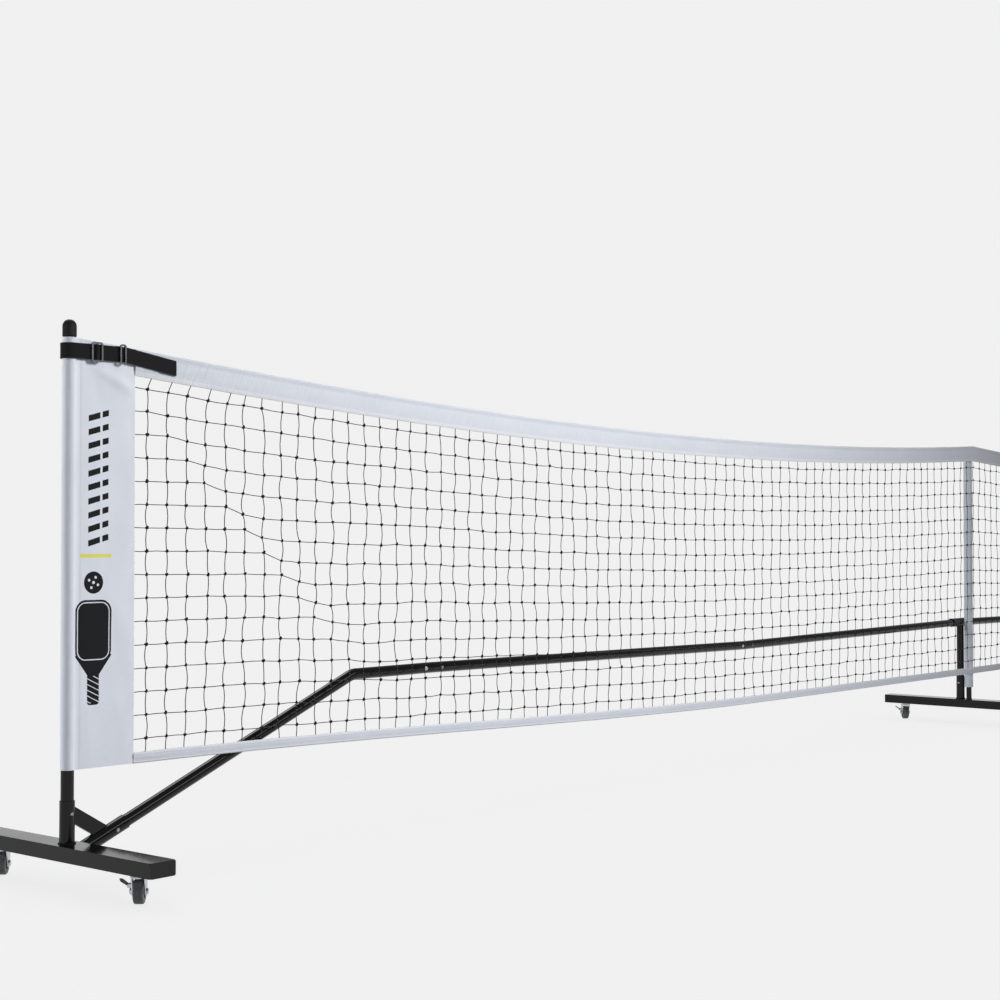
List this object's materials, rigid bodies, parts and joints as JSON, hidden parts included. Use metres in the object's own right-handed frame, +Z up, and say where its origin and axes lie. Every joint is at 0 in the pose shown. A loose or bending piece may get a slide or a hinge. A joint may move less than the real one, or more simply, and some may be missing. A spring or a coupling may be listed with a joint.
{
  "type": "portable court net",
  "caption": "Portable pickleball net: black push-button tube frame on wheeled bases, white-banded black netting, side panels and tension straps.",
  "frame": {"origin": "on the floor under the middle of the net, below the centre stand", "axes": "+X along the net towards the right post, +Y towards the far side of the net, +Z up"},
  "size_m": [6.7575, 0.496, 0.9438],
  "materials": {
    "black_steel": "gloss black powder coat",
    "black_plastic": "moulded black plastic",
    "zinc_steel": "bright zinc plate",
    "spring_steel": "spring steel",
    "nickel_wire": "nickel plate",
    "white_fabric": "coated woven polyester",
    "black_netting": "knotted black twine",
    "braided_cord": "braided cord",
    "black_webbing": "woven nylon webbing",
    "grey_rubber": "grey thermoplastic rubber",
    "grey_nylon": "dark grey moulded nylon"
  },
  "bodies": {
    "frame": {"left_base_tube": "black_steel", "right_base_tube": "black_steel", "centre_base_tube": "black_steel", "base_end_caps": "black_plastic", "post_sockets": "black_steel", "bar_sockets": "black_steel", "braces": "black_steel", "left_upright": "black_steel", "right_upright": "black_steel", "post_caps": "black_plastic", "centre_stand": "black_steel", "centre_tee": "black_steel", "centre_post": "black_steel", "left_elbow_bar": "black_steel", "right_elbow_bar": "black_steel", "left_outer_bar": "black_steel", "right_outer_bar": "black_steel", "left_inner_bar": "black_steel", "right_inner_bar": "black_steel", "bar_spigots": "zinc_steel", "spigot_rivets": "zinc_steel", "headband": "white_fabric", "bottom_band": "white_fabric", "netting": "black_netting", "net_cords": "braided_cord", "centre_sleeve": "white_fabric", "left_side_panel": "white_fabric", "right_side_panel": "white_fabric", "left_tension_strap": "black_webbing", "right_tension_strap": "black_webbing", "strap_buckles": "nickel_wire", "caster_stems": "zinc_steel", "button_springs": "spring_steel"},
    "caster_1": {"caster_fork_1": "zinc_steel"},
    "wheel_1": {"caster_wheel_1": "grey_rubber"},
    "brake_1": {"brake_lever_1": "grey_nylon"},
    "caster_2": {"caster_fork_2": "zinc_steel"},
    "wheel_2": {"caster_wheel_2": "grey_rubber"},
    "brake_2": {"brake_lever_2": "grey_nylon"},
    "caster_3": {"caster_fork_3": "zinc_steel"},
    "wheel_3": {"caster_wheel_3": "grey_rubber"},
    "brake_3": {"brake_lever_3": "grey_nylon"},
    "caster_4": {"caster_fork_4": "zinc_steel"},
    "wheel_4": {"caster_wheel_4": "grey_rubber"},
    "brake_4": {"brake_lever_4": "grey_nylon"},
    "caster_5": {"caster_fork_5": "zinc_steel"},
    "wheel_5": {"caster_wheel_5": "grey_rubber"},
    "brake_5": {"brake_lever_5": "grey_nylon"},
    "caster_6": {"caster_fork_6": "zinc_steel"},
    "wheel_6": {"caster_wheel_6": "grey_rubber"},
    "brake_6": {"brake_lever_6": "grey_nylon"},
    "left_post_button": {"left_post_button": "nickel_wire"},
    "right_post_button": {"right_post_button": "nickel_wire"},
    "left_foot_button": {"left_foot_button": "nickel_wire"},
    "right_foot_button": {"right_foot_button": "nickel_wire"},
    "left_elbow_button": {"left_elbow_button": "nickel_wire"},
    "right_elbow_button": {"right_elbow_button": "nickel_wire"},
    "left_bar_button": {"left_bar_button": "nickel_wire"},
    "right_bar_button": {"right_bar_button": "nickel_wire"},
    "centre_button": {"centre_button": "nickel_wire"}
  },
  "joints": [
    {"name": "swivel_1", "type": "hinge", "parent": "frame", "child": "caster_1", "pos_m": [-3.353, -0.187, 0.045], "axis": [0, 0, 1], "continuous": true},
    {"name": "roll_1", "type": "hinge", "parent": "caster_1", "child": "wheel_1", "pos_m": [-3.34557, -0.18031, 0.02], "axis": [0.6691, -0.7431, 0], "continuous": true},
    {"name": "brake_1_press", "type": "hinge", "parent": "caster_1", "child": "brake_1", "pos_m": [-3.35607, -0.16864, 0.0295], "axis": [0.7431, 0.6691, 0], "range_deg": [0, 25]},
    {"name": "swivel_2", "type": "hinge", "parent": "frame", "child": "caster_2", "pos_m": [-3.353, 0.187, 0.045], "axis": [0, 0, 1], "continuous": true},
    {"name": "roll_2", "type": "hinge", "parent": "caster_2", "child": "wheel_2", "pos_m": [-3.34557, 0.19369, 0.02], "axis": [0.6691, -0.7431, 0], "continuous": true},
    {"name": "brake_2_press", "type": "hinge", "parent": "caster_2", "child": "brake_2", "pos_m": [-3.35607, 0.20536, 0.0295], "axis": [0.7431, 0.6691, 0], "range_deg": [0, 25]},
    {"name": "swivel_3", "type": "hinge", "parent": "frame", "child": "caster_3", "pos_m": [0, -0.187, 0.045], "axis": [0, 0, 1], "continuous": true},
    {"name": "roll_3", "type": "hinge", "parent": "caster_3", "child": "wheel_3", "pos_m": [0.00743, -0.18031, 0.02], "axis": [0.6691, -0.7431, 0], "continuous": true},
    {"name": "brake_3_press", "type": "hinge", "parent": "caster_3", "child": "brake_3", "pos_m": [-0.00307, -0.16864, 0.0295], "axis": [0.7431, 0.6691, 0], "range_deg": [0, 25]},
    {"name": "swivel_4", "type": "hinge", "parent": "frame", "child": "caster_4", "pos_m": [0, 0.187, 0.045], "axis": [0, 0, 1], "continuous": true},
    {"name": "roll_4", "type": "hinge", "parent": "caster_4", "child": "wheel_4", "pos_m": [0.00743, 0.19369, 0.02], "axis": [0.6691, -0.7431, 0], "continuous": true},
    {"name": "brake_4_press", "type": "hinge", "parent": "caster_4", "child": "brake_4", "pos_m": [-0.00307, 0.20536, 0.0295], "axis": [0.7431, 0.6691, 0], "range_deg": [0, 25]},
    {"name": "swivel_5", "type": "hinge", "parent": "frame", "child": "caster_5", "pos_m": [3.353, -0.187, 0.045], "axis": [0, 0, 1], "continuous": true},
    {"name": "roll_5", "type": "hinge", "parent": "caster_5", "child": "wheel_5", "pos_m": [3.36043, -0.18031, 0.02], "axis": [0.6691, -0.7431, 0], "continuous": true},
    {"name": "brake_5_press", "type": "hinge", "parent": "caster_5", "child": "brake_5", "pos_m": [3.34993, -0.16864, 0.0295], "axis": [0.7431, 0.6691, 0], "range_deg": [0, 25]},
    {"name": "swivel_6", "type": "hinge", "parent": "frame", "child": "caster_6", "pos_m": [3.353, 0.187, 0.045], "axis": [0, 0, 1], "continuous": true},
    {"name": "roll_6", "type": "hinge", "parent": "caster_6", "child": "wheel_6", "pos_m": [3.36043, 0.19369, 0.02], "axis": [0.6691, -0.7431, 0], "continuous": true},
    {"name": "brake_6_press", "type": "hinge", "parent": "caster_6", "child": "brake_6", "pos_m": [3.34993, 0.20536, 0.0295], "axis": [0.7431, 0.6691, 0], "range_deg": [0, 25]},
    {"name": "left_post_button_press", "type": "slide", "parent": "frame", "child": "left_post_button", "axis": [0, 1, 0], "range_m": [0, 0.0035], "stiffness_N_per_m": 500, "springref_m": -0.002},
    {"name": "right_post_button_press", "type": "slide", "parent": "frame", "child": "right_post_button", "axis": [0, 1, 0], "range_m": [0, 0.0035], "stiffness_N_per_m": 500, "springref_m": -0.002},
    {"name": "left_foot_button_press", "type": "slide", "parent": "frame", "child": "left_foot_button", "axis": [0, 1, 0], "range_m": [0, 0.0035], "stiffness_N_per_m": 500, "springref_m": -0.002},
    {"name": "right_foot_button_press", "type": "slide", "parent": "frame", "child": "right_foot_button", "axis": [0, 1, 0], "range_m": [0, 0.0035], "stiffness_N_per_m": 500, "springref_m": -0.002},
    {"name": "left_elbow_button_press", "type": "slide", "parent": "frame", "child": "left_elbow_button", "axis": [0, 1, 0], "range_m": [0, 0.0035], "stiffness_N_per_m": 500, "springref_m": -0.002},
    {"name": "right_elbow_button_press", "type": "slide", "parent": "frame", "child": "right_elbow_button", "axis": [0, 1, 0], "range_m": [0, 0.0035], "stiffness_N_per_m": 500, "springref_m": -0.002},
    {"name": "left_bar_button_press", "type": "slide", "parent": "frame", "child": "left_bar_button", "axis": [0, 1, 0], "range_m": [0, 0.0035], "stiffness_N_per_m": 500, "springref_m": -0.002},
    {"name": "right_bar_button_press", "type": "slide", "parent": "frame", "child": "right_bar_button", "axis": [0, 1, 0], "range_m": [0, 0.0035], "stiffness_N_per_m": 500, "springref_m": -0.002},
    {"name": "centre_button_press", "type": "slide", "parent": "frame", "child": "centre_button", "axis": [1, 0, 0], "range_m": [0, 0.0035], "stiffness_N_per_m": 500, "springref_m": -0.002}
  ]
}
